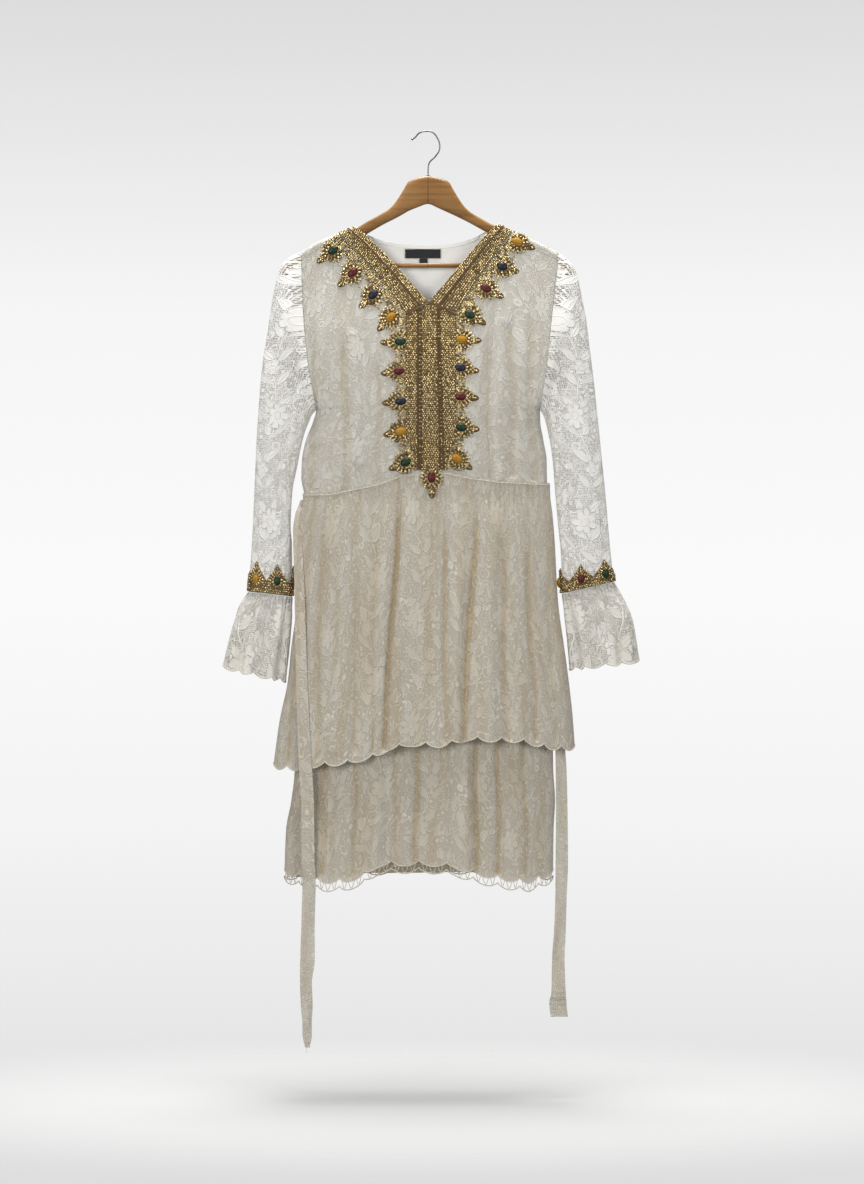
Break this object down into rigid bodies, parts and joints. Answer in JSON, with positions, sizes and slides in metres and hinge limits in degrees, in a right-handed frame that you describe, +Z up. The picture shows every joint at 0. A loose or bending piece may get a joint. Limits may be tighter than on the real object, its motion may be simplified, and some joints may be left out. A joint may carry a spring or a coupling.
{
  "type": "party dress on a hanger",
  "caption": "Long-sleeved lace party dress with a jewelled gold V neck, cuffs and front panel, a two-tier skirt and bell ruffles, hanging on a wooden hanger.",
  "frame": {"origin": "inside top of the hanger's hook, where a peg or rail carries the dress", "axes": "+X to the right as seen from the front, the front of the dress faces -Y, +Z up"},
  "size_m": [0.6244, 0.1113, 1.3683],
  "materials": {
    "lace": "corded floral lace, matt",
    "lining": "plain smooth woven lining",
    "gold_trim": "gold beads and metallic thread",
    "hanger_wood": "varnished",
    "hook_wire": "polished wire",
    "label_cloth": "woven, bare",
    "stone_green": "padded satin stitch",
    "stone_red": "padded satin stitch",
    "stone_navy": "padded satin stitch",
    "stone_yellow": "padded thread"
  },
  "bodies": {
    "root": {"applique_bottom": "gold_trim", "applique_left": "gold_trim", "applique_right": "gold_trim", "bodice_back": "lace", "bodice_front": "lace", "cuff_ruffle_left": "lace", "cuff_ruffle_right": "lace", "cuff_stone_left_1": "stone_yellow", "cuff_stone_left_2": "stone_green", "cuff_stone_left_3": "stone_red", "cuff_stone_left_4": "stone_navy", "cuff_stone_left_5": "stone_yellow", "cuff_stone_right_1": "stone_green", "cuff_stone_right_2": "stone_red", "cuff_stone_right_3": "stone_yellow", "cuff_stone_right_4": "stone_navy", "cuff_stone_right_5": "stone_red", "cuff_trim_left": "gold_trim", "cuff_trim_right": "gold_trim", "hanger_bar": "hanger_wood", "hanger_body": "hanger_wood", "hanger_hook": "hook_wire", "lining_back": "lining", "lining_front": "lining", "lining_skirt_back": "lining", "lining_skirt_front": "lining", "neck_band_left": "gold_trim", "neck_band_right": "gold_trim", "neck_binding_back": "lining", "neck_label": "label_cloth", "placket": "gold_trim", "size_tab": "label_cloth", "sleeve_left": "lace", "sleeve_right": "lace", "stone_bottom_1": "stone_red", "stone_left_1": "stone_green", "stone_left_2": "stone_red", "stone_left_3": "stone_navy", "stone_left_4": "stone_yellow", "stone_left_5": "stone_green", "stone_left_6": "stone_red", "stone_left_7": "stone_navy", "stone_left_8": "stone_yellow", "stone_left_9": "stone_green", "stone_right_1": "stone_yellow", "stone_right_2": "stone_navy", "stone_right_3": "stone_red", "stone_right_4": "stone_green", "stone_right_5": "stone_yellow", "stone_right_6": "stone_navy", "stone_right_7": "stone_red", "stone_right_8": "stone_green", "stone_right_9": "stone_yellow", "tie_left": "lace", "tie_right": "lace", "tier_lower_back": "lace", "tier_lower_front": "lace", "tier_upper_back": "lace", "tier_upper_front": "lace"}
  },
  "joints": []
}
